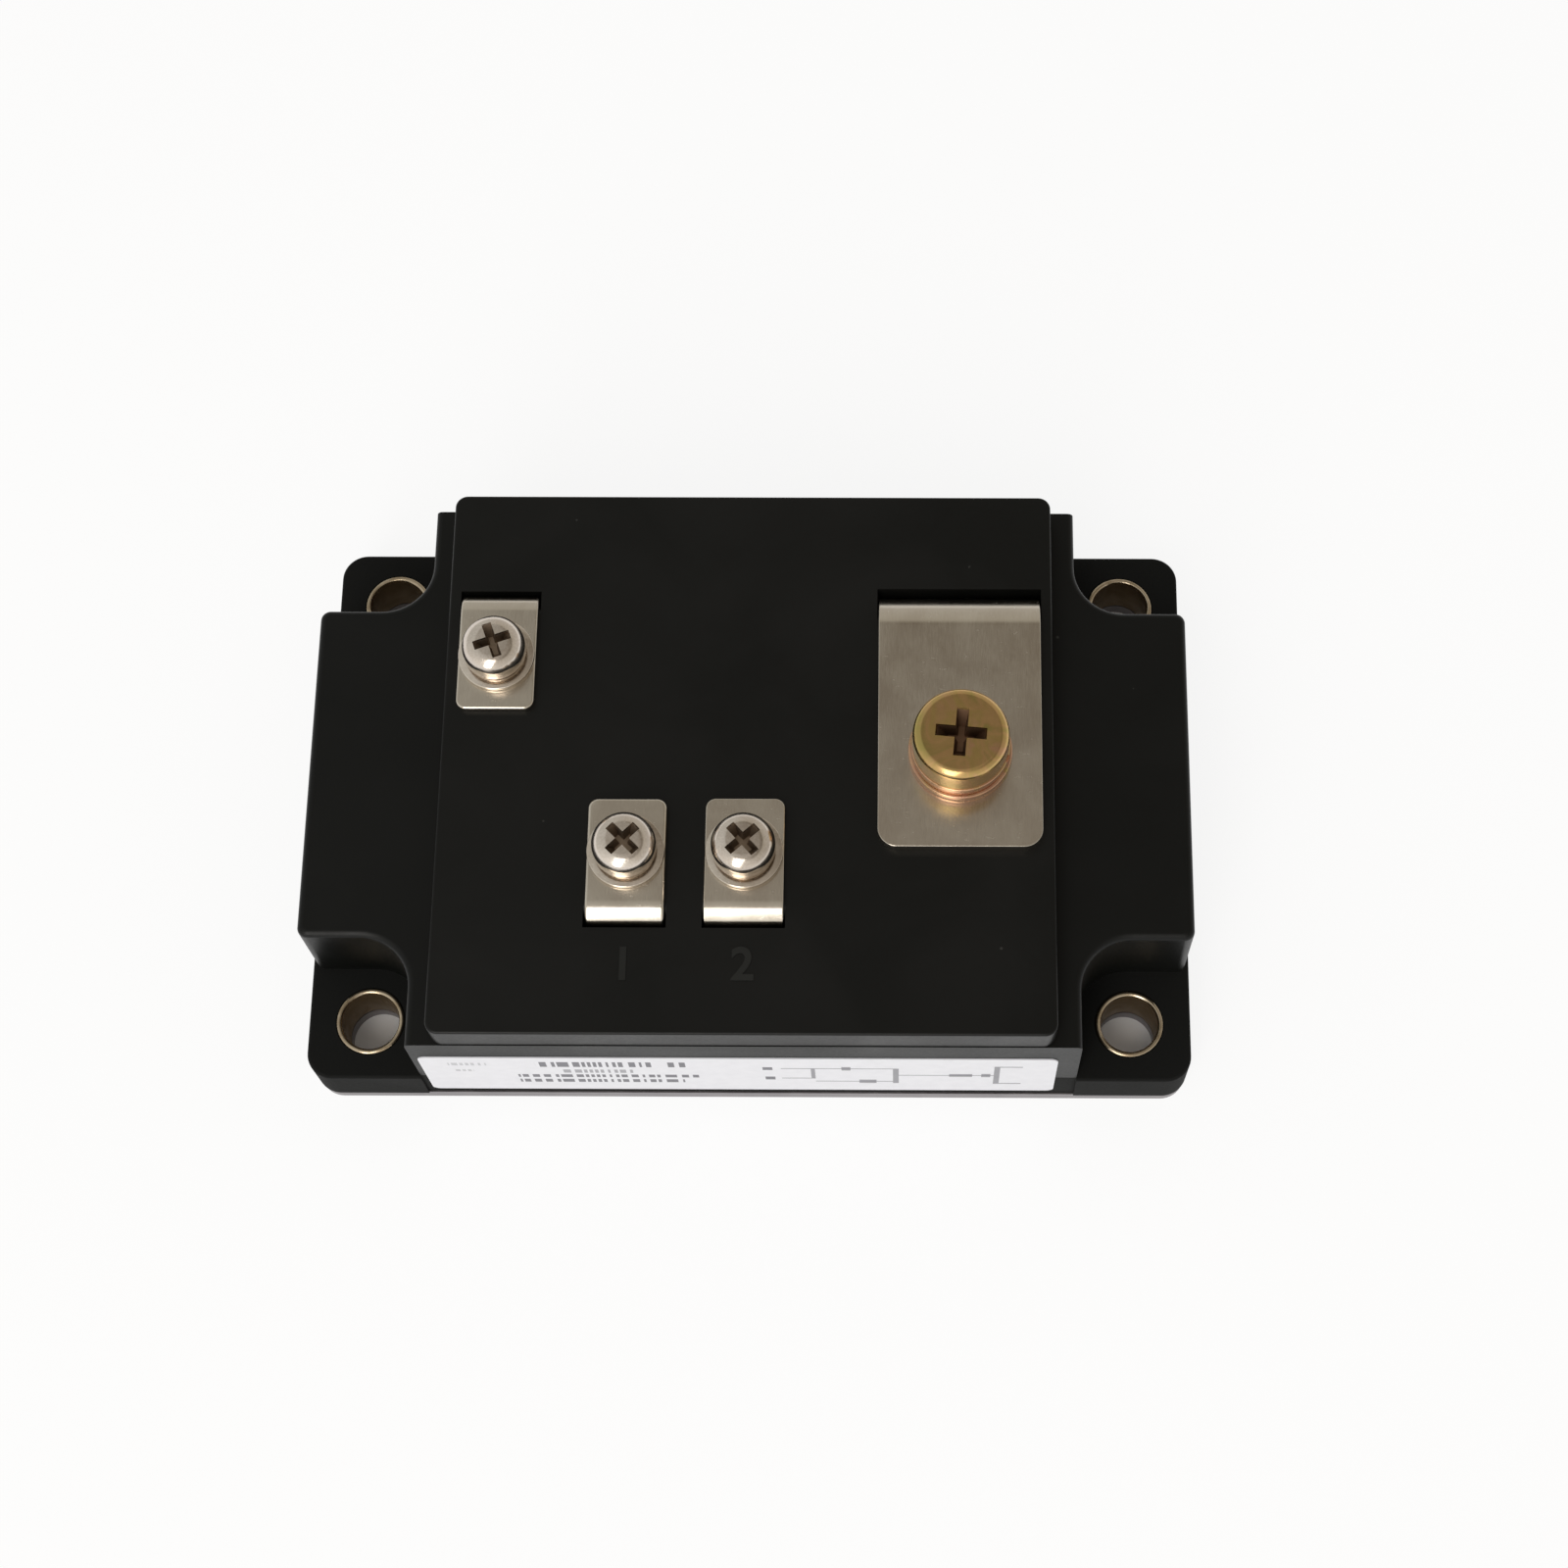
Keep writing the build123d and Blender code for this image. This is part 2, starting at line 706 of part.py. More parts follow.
emitter_stop = (emitter_island_right - wire_setback, island_wire_z)
with BuildPart() as emitter_wires:
    for y in chip_rows:
        for number in range(wires_per_chip):
            wire_y = y + (number - (wires_per_chip - 1) / 2) * wire_pitch
            add(stitched_wire(
                Plane.XZ.offset(-wire_y),
                [(diode_x, chip_wire_z), (igbt_x, chip_wire_z), emitter_stop],
            ))

# The gate wires run from the back corner of each transistor to the gate's track, and one
# wire brings the emitter of the front transistor to the sense terminal's pad
with BuildPart() as signal_wires:
    for y in chip_rows:
        add(stitched_wire(
            Plane.XZ.offset(-(y + igbt_side / 2 - wire_foot)),
            [
                (igbt_x - igbt_side / 2 + wire_foot, chip_wire_z),
                (gate_track_left + gate_track_width / 2, island_wire_z),
            ],
        ))
    add(stitched_wire(
        Plane.YZ.offset(igbt_x + igbt_side / 2 - wire_foot),
        [
            (front_chip_y - igbt_side / 2 + wire_foot, chip_wire_z),
            (signal_pad_back - wire_setback, island_wire_z),
        ],
    ))

inner_pieces += [
    substrate_solder.part,
    back_copper.part,
    ceramic.part,
    collector_copper.part,
    emitter_copper.part,
    gate_copper.part,
    sense_copper.part,
    chip_solder.part,
    igbt_chips.part,
    diode_chips.part,
    terminal_solder.part,
    emitter_wires.part,
    signal_wires.part,
]

# Silicone gel: poured round the substrate and the feet of the terminals to cover the wires
with BuildPart() as gel:
    with BuildSketch(Plane.XY.offset(baseplate_thickness)):
        RectangleRounded(
            cavity_length - 2 * gel_wall_gap,
            cavity_width - 2 * gel_wall_gap,
            cavity_corner_radius - gel_wall_gap,
        )
    extrude(amount=gel_height - baseplate_thickness)
    for piece in inner_pieces:
        add(piece, mode=Mode.SUBTRACT)

finish(substrate_solder.part, "substrate_solder")
finish(back_copper.part, "back_copper")
finish(ceramic.part, "ceramic")
finish(collector_copper.part, "collector_copper")
finish(emitter_copper.part, "emitter_copper")
finish(gate_copper.part, "gate_copper")
finish(sense_copper.part, "sense_copper")
finish(chip_solder.part, "chip_solder")
finish(igbt_chips.part, "igbt_chips")
finish(diode_chips.part, "diode_chips")
finish(terminal_solder.part, "terminal_solder")
finish(emitter_wires.part, "emitter_wires")
finish(signal_wires.part, "signal_wires")
finish(gel.part, "gel")
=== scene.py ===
from math import pi, radians

import bpy
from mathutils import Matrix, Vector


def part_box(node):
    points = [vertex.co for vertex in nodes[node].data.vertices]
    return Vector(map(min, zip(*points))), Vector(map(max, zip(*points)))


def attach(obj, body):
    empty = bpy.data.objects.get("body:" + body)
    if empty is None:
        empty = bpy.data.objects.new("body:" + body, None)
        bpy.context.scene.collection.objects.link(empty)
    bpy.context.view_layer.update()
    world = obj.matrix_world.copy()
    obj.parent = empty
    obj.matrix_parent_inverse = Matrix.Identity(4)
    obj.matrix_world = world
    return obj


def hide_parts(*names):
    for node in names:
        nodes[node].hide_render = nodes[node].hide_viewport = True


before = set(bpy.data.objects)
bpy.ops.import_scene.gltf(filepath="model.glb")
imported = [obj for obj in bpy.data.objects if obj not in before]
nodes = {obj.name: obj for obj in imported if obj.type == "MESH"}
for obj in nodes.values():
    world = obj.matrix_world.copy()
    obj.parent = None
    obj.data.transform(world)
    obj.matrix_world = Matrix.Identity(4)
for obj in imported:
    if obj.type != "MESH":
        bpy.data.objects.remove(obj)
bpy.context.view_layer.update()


# Baseplate: a 2 mm copper plate, nickel plated all over and lapped flat underneath, which
# carries the substrate inside and clamps the module to its heat sink.
class Pattern:
    """A value on its way through a material's nodes, written as arithmetic."""

    def __init__(self, tree, socket):
        self.tree, self.socket = tree, socket

    def node(self, kind, settings, values, output=0):
        node = self.tree.nodes.new("ShaderNode" + kind)
        for name, setting in settings.items():
            if name == "stops":
                for number, (place, colour) in enumerate(setting):
                    stops = node.color_ramp.elements
                    stop = stops[number] if number < len(stops) else stops.new(place)
                    stop.position, stop.color = place, (*colour, 1)
            else:
                setattr(node, name, setting)
        for name, value in values.items():
            if isinstance(value, Pattern):
                self.tree.links.new(value.socket, node.inputs[name])
            else:
                node.inputs[name].default_value = value
        return Pattern(self.tree, node.outputs[output])

    def sum(self, operation, first, second):
        return self.node("Math", {"operation": operation}, {0: first, 1: second})

    def __add__(self, other):
        return self.sum("ADD", self, other)

    def __radd__(self, other):
        return self.sum("ADD", other, self)

    def __sub__(self, other):
        return self.sum("SUBTRACT", self, other)

    def __rsub__(self, other):
        return self.sum("SUBTRACT", other, self)

    def __mul__(self, other):
        return self.sum("MULTIPLY", self, other)

    def __rmul__(self, other):
        return self.sum("MULTIPLY", other, self)

    def __pow__(self, other):
        return self.sum("POWER", self, other)

    def __lt__(self, other):
        return self.sum("LESS_THAN", self, other)

    def __gt__(self, other):
        return self.sum("GREATER_THAN", self, other)

    def within(self, low, high):
        """0 at low, 1 at high and a straight line between them."""
        return self.node("MapRange", {}, {"Value": self, "From Min": low, "From Max": high})

    def noise(self, scale, detail=3.0, stretch=(1, 1, 1), warp=0.0):
        """Soft noise on this place, scale features to the metre."""
        place = self.node("Mapping", {}, {"Vector": self, "Scale": stretch})
        return self.node("TexNoise", {}, {
            "Vector": place, "Scale": scale, "Detail": detail, "Distortion": warp})

    def blend(self, first, second):
        """The first colour where this is 0 and the second where it is 1."""
        ends = [c if isinstance(c, Pattern) else (*c, 1) for c in (first, second)]
        return self.node("Mix", {"data_type": "RGBA"}, {0: self, 6: ends[0], 7: ends[1]}, 2)


def new_finish(name, plain):
    """A material with its plain numbers set, its shader and the place on the object."""
    material = bpy.data.materials.new(name)
    material.use_nodes = True
    tree = material.node_tree
    shader = tree.nodes["Principled BSDF"]
    for socket, value in plain.items():
        shader.inputs[socket].default_value = value
    place = Pattern(tree, None).node("TexCoord", {}, {}, "Object")

    def send(**values):
        for socket, value in values.items():
            tree.links.new(value.socket, shader.inputs[socket.replace("_", " ")])

    return material, place, send


def plated_metal(name, colour, stain, grain, roughness, depth=4e-6):
    """Plated metal, with a fine grain along the strip, soft stains and stray scratches."""
    material, place, send = new_finish(name, {"Metallic": 1.0})
    cloud = place.noise(160, 4, warp=0.6)
    fine = place.noise(900, 3, grain)
    scratch = place.noise(260, 2, (grain[1] * 3, grain[0], grain[2]), 0.4)
    scratch = scratch.within(0.7, 0.74)
    tone = (cloud * 0.7 + fine * 0.3).within(0.36, 0.62)
    send(
        Base_Color=tone.blend(stain, colour),
        Roughness=fine * 0.16 + cloud * 0.12 + scratch * 0.1 + (roughness - 0.14),
        Normal=place.node("Bump", {}, {
            "Strength": 0.5, "Distance": depth, "Height": fine + scratch * 0.6}),
    )
    return material


def dress(node, material):
    """Gives a node of the model its finish."""
    nodes[node].data.materials.clear()
    nodes[node].data.materials.append(material)


nickel_plate = plated_metal(
    "nickel_plate", (0.30, 0.28, 0.285), (0.22, 0.20, 0.21), (1, 14, 1), 0.4)
dress("baseplate", nickel_plate)


# Substrate: a white alumina plate with copper bonded to both faces, soldered to the
# baseplate. The copper on top is etched into islands for the collector, emitter, gate and sense.
material, place, send = new_finish("etched_copper", {"Metallic": 1.0})
tarnish = place.noise(300, 4, warp=0.8).within(0.35, 0.65)
send(
    Base_Color=tarnish.blend((0.72, 0.32, 0.19), (0.48, 0.19, 0.10)),
    Roughness=tarnish * 0.15 + 0.34,
    Normal=place.node("Bump", {}, {
        "Strength": 0.4, "Distance": 5e-6, "Height": place.noise(2500, 2)}),
)
etched_copper = material
for node in ("back_copper", "collector_copper", "emitter_copper", "gate_copper", "sense_copper"):
    dress(node, etched_copper)

material, place, send = new_finish("alumina", {"IOR": 1.7})
speckle = place.noise(1800, 3).within(0.4, 0.7)
send(
    Base_Color=speckle.blend((0.82, 0.80, 0.75), (0.72, 0.70, 0.64)),
    Roughness=speckle * 0.1 + 0.5,
    Normal=place.node("Bump", {}, {"Strength": 0.3, "Distance": 6e-6, "Height": speckle}),
)
dress("ceramic", material)

material, place, send = new_finish("reflowed_solder", {"Metallic": 1.0})
grains = place.node("TexVoronoi", {}, {"Vector": place, "Scale": 1400.0})
send(
    Base_Color=grains.within(0, 0.8).blend((0.66, 0.65, 0.64), (0.48, 0.47, 0.46)),
    Roughness=grains * 0.25 + 0.3,
    Normal=place.node("Bump", {}, {"Strength": 0.4, "Distance": 1e-5, "Height": grains}),
)
reflowed_solder = material
for node in ("substrate_solder", "chip_solder", "terminal_solder"):
    dress(node, reflowed_solder)


# Chips and bonds: two transistor and two diode chips of polished silicon with aluminium
# on top, and aluminium wires that are stitched to them without solder.
material, place, send = new_finish("silicon_chip", {"Metallic": 0.6})
rings = place.noise(700, 2).within(0.4, 0.6)
send(
    Base_Color=rings.blend((0.30, 0.31, 0.33), (0.20, 0.21, 0.25)),
    Roughness=rings * 0.1 + 0.18,
    Normal=place.node("Bump", {}, {
        "Strength": 0.2, "Distance": 2e-6, "Height": place.noise(4000, 2)}),
)
for node in ("igbt_chips", "diode_chips"):
    dress(node, material)

bond_wire = plated_metal(
    "bond_wire", (0.78, 0.78, 0.78), (0.62, 0.62, 0.62), (6, 1, 6), 0.3, 2e-6)
for node in ("emitter_wires", "signal_wires"):
    dress(node, bond_wire)

material, place, send = new_finish(
    "silicone_gel", {"Transmission Weight": 0.7, "IOR": 1.41, "Roughness": 0.12})
haze = place.noise(120, 3)
send(
    Base_Color=haze.within(0.3, 0.7).blend((0.86, 0.88, 0.90), (0.78, 0.80, 0.80)),
    Normal=place.node("Bump", {}, {"Strength": 0.2, "Distance": 1e-4, "Height": haze}),
)
dress("gel", material)


# Housing: black glass-filled plastic, moulded over the sleeves and bonded to the baseplate
# with a bead of white silicone. It has the fine matte grain of a spark-eroded tool.
def moulded_black(name, colour, dust, gloss, foot=0.0):
    """Black moulded plastic: a matte grain, a faint bloom and a little dust. Below the
    height of the foot it is coarser."""
    material, place, send = new_finish(
        name, {"IOR": 1.5, "Specular IOR Level": 0.2, "Diffuse Roughness": 0.4})
    bloom = place.noise(60, 4, warp=0.5).within(0.35, 0.7)
    grain = place.noise(2600, 2)
    specks = place.node("TexVoronoi", {}, {"Vector": place, "Scale": 230.0})
    specks = (specks < 0.045) * (place.noise(90, 1) > 0.56)
    coarse = place.node("SeparateXYZ", {}, {0: place}, "Z") < foot
    send(
        Base_Color=specks.blend(bloom.blend(colour, dust), (0.03, 0.03, 0.028)),
        Roughness=bloom * 0.08 + grain * 0.12 + coarse * 0.4 + (gloss - 0.1),
        Normal=place.node("Bump", {}, {
            "Strength": 0.35, "Distance": 1.2e-5, "Height": grain + specks}),
    )
    return material


flange_top = 0.0094
housing_black = moulded_black(
    "housing_black", (0.0020, 0.0023, 0.0019), (0.0030, 0.0032, 0.0028), 0.42, flange_top)
dress("housing", housing_black)

material, place, send = new_finish("sealing_silicone", {"IOR": 1.41})
lumps = place.noise(600, 3)
send(
    Base_Color=lumps.within(0.3, 0.7).blend((0.62, 0.62, 0.60), (0.50, 0.50, 0.48)),
    Roughness=lumps * 0.2 + 0.35,
    Normal=place.node("Bump", {}, {"Strength": 0.4, "Distance": 3e-5, "Height": lumps}),
)
dress("glue_bead", material)


# Mounting sleeves: brass tubes with rounded rims, standing on the baseplate inside the
# flange. They take the force of the mounting screws in place of the plastic.
def lay_down(kind, **place):
    """Starts a new piece from one of Blender's own shapes, with nothing else selected."""
    bpy.ops.object.select_all(action="DESELECT")
    getattr(bpy.ops.mesh, "primitive_" + kind + "_add")(**place)
    return bpy.context.object


def close_up(angle=35):
    """Merges what meets, turns the faces outwards and smooths all but the sharp edges."""
    bpy.ops.mesh.select_all(action="SELECT")
    bpy.ops.mesh.remove_doubles(threshold=2e-7)
    bpy.ops.mesh.normals_make_consistent(inside=False)
    bpy.ops.object.mode_set(mode="OBJECT")
    bpy.ops.object.shade_smooth_by_angle(angle=radians(angle))


def turned_ring(inner, outer, bottom, top, rounding, turn=360, rise=0.0):
    """A ring turned from the rectangle of its wall, or a part of a turn that also rises."""
    ring = lay_down("plane", size=1)
    ring.scale = (outer - inner, top - bottom, 1)
    ring.rotation_euler = (pi / 2, 0, 0)
    ring.location = ((inner + outer) / 2, 0, (bottom + top) / 2)
    bpy.ops.object.transform_apply(location=True, rotation=True, scale=True)
    bpy.ops.object.mode_set(mode="EDIT")
    bpy.ops.mesh.select_all(action="SELECT")
    bpy.ops.mesh.bevel(offset=rounding, segments=3, affect="VERTICES")
    bpy.ops.mesh.select_all(action="SELECT")
    bpy.ops.mesh.delete(type="ONLY_FACE")
    bpy.ops.object.mode_set(mode="OBJECT")
    screw = ring.modifiers.new("turn", "SCREW")
    screw.angle, screw.screw_offset = radians(turn), rise
    screw.steps = screw.render_steps = round(72 * turn / 360)
    bpy.ops.object.modifier_apply(modifier=screw.name)
    bpy.ops.object.mode_set(mode="EDIT")
    bpy.ops.mesh.select_all(action="SELECT")
    bpy.ops.mesh.remove_doubles(threshold=2e-7)
    bpy.ops.mesh.select_all(action="DESELECT")
    bpy.ops.mesh.select_non_manifold()
    bpy.ops.mesh.fill_holes(sides=0)
    close_up()
    return ring


def set_out(name, piece, places, node, material):
    """Copies a finished piece to its places as one object, which stands for a node."""
    copies = []
    for x, y, turn in places:
        copy = piece.copy()
        copy.data = piece.data.copy()
        bpy.context.collection.objects.link(copy)
        copy.location, copy.rotation_euler = (x, y, 0), (0, 0, radians(turn))
        copies.append(copy)
    bpy.data.objects.remove(piece)
    bpy.ops.object.select_all(action="DESELECT")
    for copy in copies:
        copy.select_set(True)
    bpy.context.view_layer.objects.active = copies[0]
    bpy.ops.object.join()
    bpy.ops.object.transform_apply(location=True, rotation=True, scale=True)
    copies[0].name = name
    copies[0].data.materials.clear()
    copies[0].data.materials.append(material)
    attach(copies[0], "root")
    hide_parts(node)
    return copies[0]


def paint_recess_shade(material, places, top, depth, reach, shade_colour):
    """Paints dull, dark shade into a finish inside round recesses, which start below their top.
    """
    tree = material.node_tree
    shader = tree.nodes["Principled BSDF"]
    place = Pattern(tree, None).node("TexCoord", {}, {}, "Object")
    x, y, z = [place.node("SeparateXYZ", {}, {0: place}, axis) for axis in "XYZ"]
    near = 0
    for at_x, at_y, turn in places:
        near = near + ((x - at_x) ** 2 + (y - at_y) ** 2 < reach ** 2)
    # Painted shade: below the top of each recess the colour turns dark and the surface duller.
    inside = near * (z < top) * (z > top - depth)
    colour = Pattern(tree, shader.inputs["Base Color"].links[0].from_socket)
    roughness = Pattern(tree, shader.inputs["Roughness"].links[0].from_socket)
    tree.links.new(inside.blend(colour, shade_colour).socket, shader.inputs["Base Color"])
    tree.links.new((roughness + inside * 0.3).socket, shader.inputs["Roughness"])


low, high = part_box("mounting_sleeves")
bore_radius, sleeve_radius, rim_rounding = 0.0035, 0.0042, 0.0003
sleeve_places = [
    (x, y, 0)
    for x in (low.x + sleeve_radius, high.x - sleeve_radius)
    for y in (low.y + sleeve_radius, high.y - sleeve_radius)
]
material, place, send = new_finish("sleeve_brass", {"Metallic": 1.0})
tarnish = place.noise(420, 4, warp=0.8).within(0.35, 0.68)
turning = place.noise(900, 2, (1, 1, 9))
send(
    Base_Color=tarnish.blend((0.50, 0.42, 0.31), (0.30, 0.23, 0.145)),
    Roughness=tarnish * 0.16 + turning * 0.1 + 0.1,
    Normal=place.node("Bump", {}, {"Strength": 0.4, "Distance": 5e-6, "Height": turning}),
)
# Painted shade: the bore walls, up to just under the rims, turn a dull dark brown.
paint_recess_shade(
    material, sleeve_places, high.z - 0.0002, high.z, bore_radius + 0.0001, (0.22, 0.15, 0.075))
sleeve = turned_ring(bore_radius, sleeve_radius, low.z, high.z, rim_rounding)
set_out("sleeves", sleeve, sleeve_places, "mounting_sleeves", material)


# Lid: the raised deck, moulded apart from the housing and glued into its well. It carries
# the nuts in pockets under the tabs.
lid_black = moulded_black(
    "lid_black", (0.0034, 0.0036, 0.0031), (0.0050, 0.0050, 0.0045), 0.38)
dress("lid", lid_black)
nut_steel = plated_metal("nut_steel", (0.55, 0.54, 0.50), (0.40, 0.38, 0.34), (8, 8, 1), 0.32)
dress("power_nut", nut_steel)
dress("signal_nuts", nut_steel)


# Terminal numbers: low numerals in front of the two small tabs. They are moulded with the lid
# in its black plastic, and rubbing has turned them a little lighter.
number_black = moulded_black(
    "number_black", (0.011, 0.0115, 0.0105), (0.016, 0.0165, 0.0155), 0.4)
numeral_size, numeral_relief, numeral_boldness, gap_to_tab = 0.0056, 0.00006, 0.00012, 0.0052
for number, name in (("1", "gate"), ("2", "sense")):
    low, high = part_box(name + "_terminal")
    bpy.ops.object.select_all(action="DESELECT")
    bpy.ops.object.text_add()
    numeral = bpy.context.object
    numeral.name = name + "_number"
    numeral.data.body, numeral.data.align_x = number, "CENTER"
    numeral.data.size, numeral.data.offset = numeral_size, numeral_boldness
    numeral.data.extrude = numeral_relief
    bpy.ops.object.convert(target="MESH")
    numeral.location = (
        (low.x + high.x) / 2, low.y - gap_to_tab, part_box("lid")[1].z + numeral_relief)
    bpy.ops.object.transform_apply(location=True, rotation=True, scale=True)
    bpy.ops.object.mode_set(mode="EDIT")
    close_up()
    numeral.data.materials.append(number_black)
    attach(numeral, "root")


# Terminals: copper strip, stamped and nickel plated, folded down over the nuts and soldered
# to the islands below. The stamping leaves soft edges, and handling a few scratches.
edge_softness = 0.0004
terminal_nickel = plated_metal(
    "terminal_nickel", (0.60, 0.55, 0.47), (0.53, 0.475, 0.40), (12, 1, 1), 0.2)
for name in ("power_terminal", "emitter_terminal", "gate_terminal", "sense_terminal"):
    bpy.ops.object.select_all(action="DESELECT")
    strip = bpy.data.objects.new(name.replace("_terminal", "_strip"), nodes[name].data.copy())
    bpy.context.collection.objects.link(strip)
    strip.select_set(True)
    bpy.context.view_layer.objects.active = strip
    bpy.ops.object.mode_set(mode="EDIT")
    bpy.ops.mesh.select_all(action="SELECT")
    bpy.ops.mesh.remove_doubles(threshold=1e-7)
    bpy.ops.mesh.dissolve_limited(angle_limit=radians(0.5))
    bpy.ops.object.mode_set(mode="OBJECT")
    soften = strip.modifiers.new("soften", "BEVEL")
    soften.width, soften.segments, soften.angle_limit = edge_softness, 4, radians(40)
    bpy.ops.object.modifier_apply(modifier=soften.name)
    bpy.ops.object.shade_smooth_by_angle(angle=radians(30))
    level = strip.modifiers.new("level", "WEIGHTED_NORMAL")
    level.keep_sharp = True
    bpy.ops.object.modifier_apply(modifier=level.name)
    strip.data.materials.clear()
    strip.data.materials.append(terminal_nickel)
    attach(strip, "root")
    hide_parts(name)


# Washers: a flat one on each tab and a split spring washer over it, pressed nearly flat so
# that the cut ends just stand apart. The big ones are zinc plated and yellow passivated.
def passivated_zinc(name, colours, roughness):
    """Zinc with a yellow passivation, which shimmers from olive through gold to pink."""
    material, place, send = new_finish(name, {"Metallic": 1.0})
    shimmer = place.noise(170, 3, warp=1.2)
    fine = place.noise(1500, 3)
    send(
        Base_Color=shimmer.node("ValToRGB", {
            "stops": list(zip((0.34, 0.46, 0.56, 0.68), colours))}, {0: shimmer}),
        Roughness=fine * 0.12 + shimmer * 0.1 + (roughness - 0.1),
        Normal=place.node("Bump", {}, {"Strength": 0.4, "Distance": 4e-6, "Height": fine}),
    )
    return material


# The washers are darker and browner than the screw: partly their own tone, partly painted shade
# from under the head.
washer_yellow = passivated_zinc(
    "washer_yellow",
    [(0.40, 0.24, 0.13), (0.58, 0.36, 0.22), (0.52, 0.30, 0.20), (0.45, 0.33, 0.13)], 0.24)
screw_yellow = passivated_zinc(
    "screw_yellow",
    [(0.42, 0.33, 0.11), (0.57, 0.36, 0.16), (0.50, 0.35, 0.13), (0.56, 0.33, 0.18)], 0.22)
screw_nickel = plated_metal(
    "screw_nickel", (0.72, 0.65, 0.57), (0.54, 0.47, 0.39), (5, 5, 2), 0.18)

low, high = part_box("power_screw")
power_place = ((low.x + high.x) / 2, (low.y + high.y) / 2)
power_hole, edge_rounding = 0.003, 0.00015
washer_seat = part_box("power_terminal")[1].z
split_seat = washer_seat + 0.0012
ring = turned_ring(power_hole, 0.0062, washer_seat, split_seat, edge_rounding)
set_out("power_washer", ring, [(*power_place, 0)], "power_flat_washer",
        washer_yellow)
ring = turned_ring(power_hole, 0.0059, split_seat, split_seat + 0.0014, edge_rounding,
                   turn=350, rise=0.0003)
set_out("power_split_washer", ring, [(*power_place, -12)], "power_spring_washer",
        washer_yellow)

screw_to_edge = 0.0038
signal_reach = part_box("signal_screws")[1].y - screw_to_edge
signal_places = []
for name, side, turn in (("emitter", 1, 20), ("gate", -1, 45), ("sense", -1, 42)):
    low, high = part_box(name + "_terminal")
    signal_places.append(((low.x + high.x) / 2, side * signal_reach, turn))
signal_hole, edge_rounding = 0.002, 0.0001
washer_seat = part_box("gate_terminal")[1].z
split_seat = washer_seat + 0.0008
ring = turned_ring(signal_hole, 0.0046, washer_seat, split_seat, edge_rounding)
set_out("signal_washers", ring, signal_places, "signal_flat_washers",
        screw_nickel)
ring = turned_ring(signal_hole, 0.0035, split_seat, split_seat + 0.00095, edge_rounding,
                   turn=350, rise=0.00015)
set_out("signal_split_washers", ring, [(x, y, 5) for x, y, turn in signal_places],
        "signal_spring_washers", screw_nickel)
